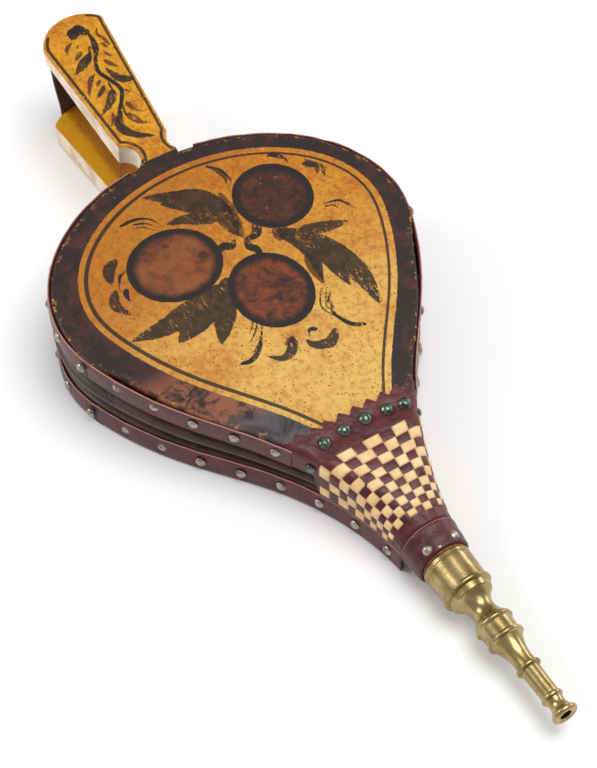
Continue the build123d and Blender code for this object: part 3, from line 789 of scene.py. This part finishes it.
def front_board_paint():
    outline = top_outline()
    rim_line = closed(outline)
    step = 1.5
    s, y = np.meshgrid(np.arange(60, 373, step), np.arange(-96, 96, step))
    s[1::2] += step / 2
    grid = np.stack([s.ravel(), y.ravel()], axis=1)
    border = body_ring(BORDER_INSET, PICTURE_SHIFT)
    stripe = body_ring(PINSTRIPE_INSET, PICTURE_SHIFT)
    stripes = handle_stripes(outline)
    extra = [stripe, border, *stripes]
    for points, half, form in STROKES + LEAVES + BROWNS:
        line = curve_through(points)
        side = lefts(line) * (half * brush_width(form, np.linspace(0, 1, len(line))))[:, None]
        extra += [line, line + side, line - side]
    for offset in (0.6, -0.6):
        extra += [body_ring(PINSTRIPE_INSET + offset, PICTURE_SHIFT), np.vstack(stripes) + (0, offset)]
    extra = np.vstack(extra)
    grid = grid[is_inside(grid, outline) & (line_distance(grid, rim_line) > 0.7)]
    extra = extra[is_inside(extra, outline) & (line_distance(extra, rim_line) > 0.3)]
    places = np.vstack([outline, grid, extra])
    rim_edges = [(i, (i + 1) % len(outline)) for i in range(len(outline))]
    made = delaunay_2d_cdt([Vector(p) for p in places.tolist()], rim_edges, [], 1, 0.05)
    places = np.array([tuple(v) for v in made[0]])
    faces = [tuple(face) for face in made[2]]
    rim = line_distance(places, rim_line) + 1.6
    to_border = line_distance(places, closed(border)) * np.where(is_inside(places, border), 1, -1)
    past_body = places[:, 0] - BODY_LENGTH - 1.2
    border_distance = np.where(past_body < 0, np.maximum(to_border, past_body), past_body)
    line = np.min([line_distance(places, run) for run in [stripe, *stripes]], axis=0) - PINSTRIPE_HALF
    line -= 0.35 * smooth_step(20, -50, places[:, 1])
    points = np.stack([-places[:, 0], places[:, 1], np.full(len(places), HINGE_Z + PAINT_FILM)], axis=1)
    piece = new_mesh("front_board_paint", opened(points), faces, [painted_picture()], rim=rim,
                     border=border_distance, line=line, plum=ovals_distance(places, PLUMS),
                     leaf=marks_distance(places, LEAVES), brown=marks_distance(places, BROWNS),
                     stroke=np.minimum(marks_distance(places, STROKES), ovals_distance(places, HANDLE_BLOB)))
    plan = piece.data.attributes.new("plan", "FLOAT_VECTOR", "POINT")
    flat = np.concatenate([places, np.zeros((len(places), 1))], axis=1)
    plan.data.foreach_set("vector", flat.astype(np.float32).ravel())
    up = Vector((sin(OPEN), 0, cos(OPEN)))
    if piece.data.polygons[0].normal.dot(up) < 0:
        piece.data.flip_normals()
    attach(piece, "front")
    return piece


# --- leather

def band_half(path, normals, low, high, nails, side):
    """Rings of points round one half of a trim band."""
    along = arc_lengths(path)
    rings, raw = [], []
    for (x, y), (nx, ny), s in zip(path, normals, along):
        pull = sum(np.exp(-((s - at) / 3.2) ** 2) for at in nails)
        swell = 0.30 + 0.22 * wobble(s, 3, 7 * side, 9) - 0.42 * pull
        top = high + 0.30 * wobble(s, 11, 5 * side, 8) - 0.15 * pull
        bottom = low + 0.15 * wobble(s, 17, 9 * side, 8)
        face = [(BAND_T * 0.98 + swell * sin(pi * k / 6), bottom + 0.5 + (top - bottom - 1.0) * k / 6)
                for k in range(7)]
        profile = [(GLUE, bottom + 0.3), (GLUE + 0.3, bottom), (BAND_T - 0.4, bottom), *face,
                   (BAND_T - 0.1, top - 0.15), (BAND_T - 0.5, top), (BAND_T - 0.9, top - 0.1),
                   (GLUE, top - 0.9)]
        rings.append([(x + nx * a, side * (y + ny * a), z) for a, z in profile])
        raw.append([0] * 9 + [0.1, 1, 0.6, 0, 0])
    return np.array(rings), np.array(raw, float)


def trim_band(level, low, high, front_x, is_upper, material):
    """The leather glued and nailed round a board's edge, in two halves that stop beside the handle."""
    path, normals = pear_path(front_x, 1.1, low_y=HANDLE_ROOT_HALF + 3.2)
    centres = cluster_centres(f"{level}_trim_nails")
    if is_upper:
        centres = opened(centres, -1.0)
    along = arc_lengths(path)
    all_rings, all_raw, faces = [], [], []
    for side in (1, -1):
        own = [c for c in centres if c[1] * side > 0]
        nails = [along[np.argmin(np.hypot(path[:, 0] - c[0], path[:, 1] - c[1] * side))] for c in own]
        rings, raw = band_half(path, normals, low, high, nails, side)
        start = sum(len(r) for r in all_rings)
        count, around = rings.shape[:2]
        faces += [tuple(start + v for v in face) for face in loft_faces(count, around)]
        all_rings.append(rings.reshape(-1, 3))
        all_raw.append(raw.ravel())
    points = np.vstack(all_rings)
    points = opened(points) if is_upper else points
    piece = new_mesh(f"{level}_trim_leather", points, faces, [material], raw=np.concatenate(all_raw))
    fix_normals(piece)
    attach(piece, "front" if is_upper else "back")
    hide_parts(f"{level}_trim_band")


def fold_offset(share):
    """How far the gusset stands out from the boards' edges, over its height."""
    shares = [0.0, 0.05, 0.22, 0.34, 0.42, 0.50, 0.58, 0.66, 0.78, 0.95, 1.0]
    offsets = [0.1, -1.2, -11.0, -1.6, 1.1, 1.7, 1.1, -1.6, -11.0, -1.2, 0.1]
    line = curve_through(list(zip(shares, offsets)), 0.2)
    return np.interp(share, line[:, 0], line[:, 1])


def gusset(material):
    """The folded leather between the boards: a fan about the hinge with one crest and two valleys."""
    points, normals, along = whole_path(HINGE_X - 0.6, 1.6)
    shares = np.linspace(0, 1, 45)
    front_fade = smooth_step(0, 26, np.minimum(along, along[-1] - along))
    rings = []
    for (x, y), (nx, ny), s, fade in zip(points, normals, along, front_fade):
        ring = []
        for skin in (0.0, -LEATHER_T + 0.3):
            spots = []
            for share in shares:
                crease = wobble(s, share * 20, 2, 16) * 0.8 + wobble(s, share * 40, 5, 5) * 0.25
                belly = sin(pi * share) * (0.25 + 0.75 * min(1, abs(share - 0.5) / 0.25))
                a = fold_offset(share) * (0.35 + 0.65 * fade) + skin + crease * belly * fade
                lift = wobble(s, 8, share * 3, 22) * 0.10 * belly * fade
                level = share + lift * belly
                spots.append(opened((x + nx * a, y + ny * a, BOARD_T + HINGE_GAP * level), level))
            ring += spots if skin == 0.0 else spots[::-1]
        rings.append(ring)
    piece = loft("bellows_gusset", rings, [material])
    blend_by_opening(piece)
    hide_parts("bellows_leather")


def blend_by_opening(piece):
    """Bakes the piece's placement into its mesh."""
    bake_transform(piece)


def nose_shape(x, grow):
    """Half width, lowest and highest z and corner radius of the nose at x, grown by a leather's thickness."""
    low, high, radius = (np.interp(x, NOSE_SECTIONS[:, 0], NOSE_SECTIONS[:, k]) for k in (1, 2, 3))
    half = float(half_width(x)) + grow
    low, high = low - grow, high + grow
    return half, low, high, min(radius + grow, half - 0.05, (high - low) / 2 - 0.05)


def arch_points(x, shares, grow, low_edge):
    """The nose from its left lower edge over the top to the right one, by share of the way: y, z, ny, nz."""
    half, _, high, radius = nose_shape(x, grow)
    left = [(half, min(low_edge, high - radius - 0.2), 1.0, 0.0)]
    left += [(half - radius + radius * cos(t), high - radius + radius * sin(t), cos(t), sin(t))
             for t in np.linspace(0, pi / 2, 9)]
    line = np.array(left + [(-y, z, -ny, nz) for y, z, ny, nz in left[::-1]])
    s = arc_lengths(line[:, :2])
    return np.stack([np.interp(shares * s[-1], s, values) for values in line.T], axis=1)


def pinked(y):
    """The zigzag of the cover's edge, from -1 at a notch to 1 at a tip."""
    phase = (y / PINK_PITCH) % 1.0
    return 1 - 4 * abs(phase - 0.5)


def hinge_cover(material):
    """Leather over the block and the hinge, pinked where it ends on the front board."""
    columns = 180
    shares = np.linspace(0, 1, columns)
    nails = opened(cluster_centres("hinge_cover_nails"), -1.0)
    rows = [(x, None) for x in np.arange(COLLAR_BACK_X - 0.3, HINGE_X + 3, -1.6)]
    rows += [(x, None) for x in np.arange(HINGE_X + 2.6, HINGE_X - 3.2, -0.6)]
    rows += [(None, t) for t in np.linspace(0.12, 1, 22)]
    rings, raw = [], []
    for x, share_back in rows:
        outer, inner = [], []
        for grow, spots in ((COVER_T, outer), (0.12, inner)):
            at = x if x is not None else HINGE_X - 3.0
            rise = float(smooth_step(HINGE_X + 0.5, HINGE_X - 3.0, at))
            low_edge = COVER_LOW_Z + (SKIRT_LOW_Z - COVER_LOW_Z) * rise
            base = arch_points(max(at, HINGE_X), shares, grow, low_edge)
            for j in range(columns):
                y, z, ny, nz = base[j]
                place = at
                if share_back is not None:
                    flat = smooth_step(0.35, 0.75, nz)
                    edge = COVER_SKIRT + (COVER_REACH + PINK_DEPTH / 2 * pinked(y + 1.2) - COVER_SKIRT) * flat
                    place = HINGE_X - 3.0 - (edge - 3.0) * share_back
                if place < HINGE_X:
                    widen = float(half_width(place) - half_width(HINGE_X))
                    y += np.sign(y) * widen * min(1.0, abs(y) / float(half_width(HINGE_X)))
                fold = 0.28 * wobble(place, y, z, 6) + 0.12 * wobble(place, y + 40, z, 2.4)
                if grow == COVER_T:
                    fold -= sum(0.35 * np.exp(-((place - n[0]) ** 2 + (y - n[1]) ** 2) / 18) for n in nails)
                    y, z = y + ny * fold, z + nz * fold
                turned = float(smooth_step(HINGE_X + 0.2, HINGE_X - 1.2, place))
                spots.append(opened((place, y, z), turned))
        rings.append(outer + inner[::-1])
        raw.append([0.25 if share_back != 1 else 0.55] * columns + [0.2] * columns)
    piece = loft("hinge_cover_leather", np.array(rings), [material], raw=np.array(raw))
    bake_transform(piece)
    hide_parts("hinge_cover")


WEAVE_ROWS = 10
WEAVE_COLUMNS = 13
WEAVE_BACK = -62.2
WEAVE_FRONT = -20.2


def woven_cells(cream, maroon):
    """Cream and maroon strips crossing over the nose: each visible cell is a small puffed patch."""
    rng = random.Random(7)
    weights = np.linspace(1.22, 0.78, WEAVE_ROWS)
    rows = WEAVE_BACK + (WEAVE_FRONT - WEAVE_BACK) * np.concatenate([[0], np.cumsum(weights)]) / weights.sum()
    columns = np.linspace(0.002, 0.998, WEAVE_COLUMNS + 1)
    width = columns[1] - columns[0]
    fine = np.linspace(0, 1, 7)
    points, faces, tuck, kinds = [], [], [], []
    for i in range(WEAVE_ROWS):
        for j in range(WEAVE_COLUMNS):
            light = (i + j) % 2 == 0
            slip = [rng.uniform(-0.38, 0.38) for _ in range(4)]
            first_x, last_x = rows[i] + slip[0] - 0.1 * light, rows[i + 1] + slip[1] + 0.1 * light
            first_u = columns[j] + slip[2] * width * 0.3 - 0.03 * width * light
            last_u = columns[j + 1] + slip[3] * width * 0.3 + 0.03 * width * light
            start = len(points)
            for a in fine:
                x = max(first_x + (last_x - first_x) * a, HINGE_X + 0.2)
                shares = np.clip(first_u + (last_u - first_u) * fine, 0.001, 0.999)
                ends = (1 - (2 * a - 1) ** 10) * (1 - (2 * fine - 1) ** 10)
                puff = (0.42 if light else 0.24) * ends * (0.5 + 0.5 * (1 - (2 * a - 1) ** 2))
                made = arch_points(x, shares, COVER_T, COVER_LOW_Z)
                lifted = made[:, :2] + made[:, 2:] * (puff + (0.16 if light else 0.05))[:, None]
                points += [(x, y, z) for y, z in lifted.tolist()]
                # the tuck values set the painted shade at each cell's edges
                tuck += (1 - ends ** 0.6).tolist()
            cell = loft_faces(len(fine), len(fine), closed_columns=False, caps=False)
            faces += [tuple(start + v for v in face) for face in cell]
            kinds += [0 if light else 1] * (len(fine) - 1) ** 2
    piece = new_mesh("woven_strips_leather", np.array(points), faces, [cream, maroon], tuck=tuck)
    piece.data.polygons.foreach_set("material_index", kinds)
    fix_outward(piece)
    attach(piece, "back")
    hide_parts("woven_strips")


def fix_outward(piece):
    """Turns an open skin's faces away from the nose's middle line."""
    axis = Vector(to_row((0, 0, 15)))
    total = sum(f.normal.dot(Vector((0, f.center.y, f.center.z - axis.z))) for f in piece.data.polygons)
    if total < 0:
        piece.data.flip_normals()


def collar_ring(x, grow, count=72):
    half, low, high, radius = nose_shape(x, grow)
    middle = (low + high) / 2
    made = []
    for k in range(count):
        t = 2 * pi * k / count
        cx, cz = (half - radius) * np.sign(cos(t)), ((high - low) / 2 - radius) * np.sign(sin(t))
        made.append((x, cx + radius * cos(t), max(middle + cz + radius * sin(t), 0.06)))
    return made


def collar(material):
    """The leather collar that covers the joint of nose and brass, with its raw edge showing."""
    profile = [(0.0, 0.15), (0.0, 1.2), (0.25, 1.72), (0.8, 1.86)]
    profile += [(x, 1.86 + 0.10 * sin(x)) for x in np.arange(1.8, 12.2, 1.0)]
    profile += [(12.7, 1.8), (13.2, 1.6), (13.4, 1.1), (13.4, 0.15)]
    rings, raw = [], []
    for k, (step, grow) in enumerate(profile):
        ring = collar_ring(COLLAR_BACK_X + step, grow)
        dents = [0.10 * wobble(p[1], p[2], step, 5) if 2 < k < len(profile) - 3 else 0 for p in ring]
        rings.append([(p[0], p[1] * (1 + d / 13), p[2] + d * 0.5 * (p[2] > 2)) for p, d in zip(ring, dents)])
        raw.append([1.0 if k < 3 else 0.0] * len(ring))
    piece = loft("collar_leather", np.array(rings), [material], closed_rows=True, raw=np.array(raw))
    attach(piece, "back")
    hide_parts("collar")


def strap(material):
    """The strap that stops the boards opening too far, nailed under one handle and over the other's end."""
    (start, _), (stop, rise) = FRONT_HANDLE_TAPER
    along = np.array([-(FRONT_HANDLE_END - 3 - STRAP_LAP), -(FRONT_HANDLE_END - 3)])
    under = BOARD_T + HINGE_GAP + rise * (along - start) / (stop - start) - STRAP_T / 2
    top = opened(np.stack([along, along * 0, under], axis=1))
    end_x = -(BACK_HANDLE_END + STRAP_T / 2)
    corners = [top[0], top[1], np.array((end_x, 0, BOARD_T + 3)), np.array((end_x, 0, 1.5))]
    line = [corners[0]]
    for before, corner, after in zip(corners, corners[1:], corners[2:]):
        into = corner + (before - corner) / np.linalg.norm(before - corner) * STRAP_BEND
        away = corner + (after - corner) / np.linalg.norm(after - corner) * STRAP_BEND
        line += [(1 - t) ** 2 * into + 2 * t * (1 - t) * corner + t * t * away for t in np.linspace(0, 1, 9)]
    line.append(corners[-1])
    line = np.array(line)
    line = resample(line, np.arange(0, arc_lengths(line)[-1], 0.7))
    way = headings(line)
    out = np.stack([way[:, 2], way[:, 1] * 0, -way[:, 0]], axis=1)
    below = [(1, -0.5), (0.97, -0.9), (0.9, -1), (0.5, -1)]
    above = [(1, 0.5), (0.97, 0.9), (0.9, 1), (0.5, 1.06)]
    profile = [(-a, b) for a, b in below] + [(0, -1)] + below[::-1]
    profile += above + [(0, 1.08)] + [(-a, b) for a, b in above[::-1]]
    profile = [(STRAP_W / 2 * a, STRAP_T / 2 * b) for a, b in profile]
    rings = []
    for k, (spot, normal) in enumerate(zip(line, out)):
        wave = 0.025 * wobble(k * 0.7, 3, 9, 7)
        widen = 1 + 0.012 * wobble(k * 0.7, 5, 2, 9)
        hug = 0.6 * float(smooth_step(32, 15, spot[2]))       # it follows the round end of the lower handle
        bulge = [hug * (BACK_HANDLE_END_R - (BACK_HANDLE_END_R ** 2 - y * y) ** 0.5) for y, _ in profile]
        rings.append([spot + (x, y * widen, 0) + normal * (n + wave) for x, (y, n) in zip(bulge, profile)])
    piece = loft("handle_strap_leather", np.array(rings), [material])
    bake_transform(piece)
    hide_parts("handle_strap")


# --- finishes of the CAD nodes that stay

def finish_cad_nodes():
    brass = nail_metal("nail_brass", (172, 164, 148), (98, 90, 76), 0.46, 0.22)
    dark = nail_metal("nail_dark", (110, 122, 112), (34, 44, 42), 0.44, 0.07)
    iron = nail_metal("black_iron", (72, 66, 62), (36, 30, 27), 0.45, 0.34)
    wood = bare_wood()
    dark_leather = leather("valve_leather", (64, 38, 28), (88, 56, 40), from_cad=True, gloss=0.45)
    finishes = {
        # the back board's handle gets painted shade down its middle and painted light at its edges
        "back_board": board_wood("back_board_paint", handle_shade_share=0.6),
        "front_board": board_wood("front_rim_paint", handle_shade_share=0.0),
        "nose_block": wood, "valve_stiffener": wood, "nozzle": old_brass(), "fold_hoop": cane(),
        "lower_trim_nails": brass, "upper_trim_nails": brass, "collar_nails": brass,
        "hinge_cover_nails": dark, "nose_block_screws": iron, "valve_tacks": iron,
        "upper_strap_tacks": iron, "lower_strap_tacks": iron,
        "valve_flap": dark_leather, "valve_hinge_strip": dark_leather,
    }
    for node, material in finishes.items():
        slots = frame["nodes"][node].data.materials
        slots.clear()
        slots.append(material)


# --- studio

CAMERA_AZIMUTH = radians(-30.24)     # from +X, seen from above
CAMERA_ELEVATION = radians(52.09)
CAMERA_ROLL = radians(1.92)
CAMERA_DISTANCE = 0.8569
CAMERA_TARGET = Vector(to_row((-122.26, -2.11, 15.0)))
CAMERA_LENS = 106.27
CAMERA_SENSOR = 36.0
LIGHT_AIM = Vector((0.0, 0.0, 0.03))
WORLD_STRENGTH = 0.50
FLOOR_HALF = 1500.0
FLOOR_Z = -0.15                      # just under the object, so the two faces don't flicker


def camera():
    level = cos(CAMERA_ELEVATION)
    back = Vector((level * cos(CAMERA_AZIMUTH), level * sin(CAMERA_AZIMUTH), sin(CAMERA_ELEVATION)))
    right = (-back).cross(Vector((0, 0, 1))).normalized()
    up = right.cross(-back)
    across = right * cos(CAMERA_ROLL) - up * sin(CAMERA_ROLL)
    above = up * cos(CAMERA_ROLL) + right * sin(CAMERA_ROLL)
    data = bpy.data.cameras.new("camera")
    data.lens = CAMERA_LENS
    data.sensor_width = CAMERA_SENSOR
    data.sensor_fit = "HORIZONTAL"
    data.clip_start = 0.01
    made = in_scene(bpy.data.objects.new("camera", data))
    turn = Matrix((across, above, back)).transposed().to_4x4()
    made.matrix_world = Matrix.Translation(CAMERA_TARGET + back * CAMERA_DISTANCE) @ turn
    bpy.context.scene.camera = made


def soft_light(name, place, size, power, tint=(1, 1, 1)):
    data = bpy.data.lights.new(name, "AREA")
    data.shape = "RECTANGLE"
    data.size, data.size_y = size
    data.energy = power
    data.color = tint
    made = in_scene(bpy.data.objects.new(name, data))
    place = Vector(place)
    turn = (LIGHT_AIM - place).to_track_quat("-Z", "Y").to_matrix().to_4x4()
    made.matrix_world = Matrix.Translation(place) @ turn


def studio():
    world = bpy.data.worlds.new("studio")
    world.use_nodes = True
    background = world.node_tree.nodes["Background"].inputs
    background["Color"].default_value = (1, 1, 1, 1)
    background["Strength"].default_value = WORLD_STRENGTH
    bpy.context.scene.world = world
    soft_light("soft_top", (0.25, 0.25, 1.35), (0.9, 0.9), 13.0, (1, 0.99, 0.97))
    soft_light("soft_left", (-0.75, -0.95, 0.85), (0.7, 0.7), 8.5)
    soft_light("soft_back", (-0.1, 1.25, 0.45), (0.9, 0.35), 4)
    bpy.context.scene.view_settings.view_transform = "Standard"


def floor():
    sides = (-FLOOR_HALF, FLOOR_HALF)
    points = np.array([(x, y, FLOOR_Z) for x in sides for y in sides])
    piece = new_mesh("floor", points, [(0, 2, 3, 1)], [floor_paper()], smooth=False)


camera()
studio()
floor()
MAROON = leather("maroon_leather", (64, 16, 18), (90, 28, 29), gloss=0.26, raw=True)
BROWN = leather("brown_leather", (60, 42, 34), (86, 61, 50), gloss=0.32, creases=0.4)
STRAP_BROWN = leather("strap_leather", (58, 34, 28), (80, 46, 36), gloss=0.42)
finish_cad_nodes()
front_board_paint()
trim_band("lower", 0.4, BOARD_T + 0.7, COLLAR_BACK_X - 0.6, False, MAROON)
trim_band("upper", BOARD_T + HINGE_GAP - 0.7, HINGE_Z - 0.6, HINGE_X - COVER_SKIRT, True, MAROON)
gusset(BROWN)
hinge_cover(MAROON)
woven_cells(cream_leather(), MAROON)
collar(MAROON)
strap(STRAP_BROWN)
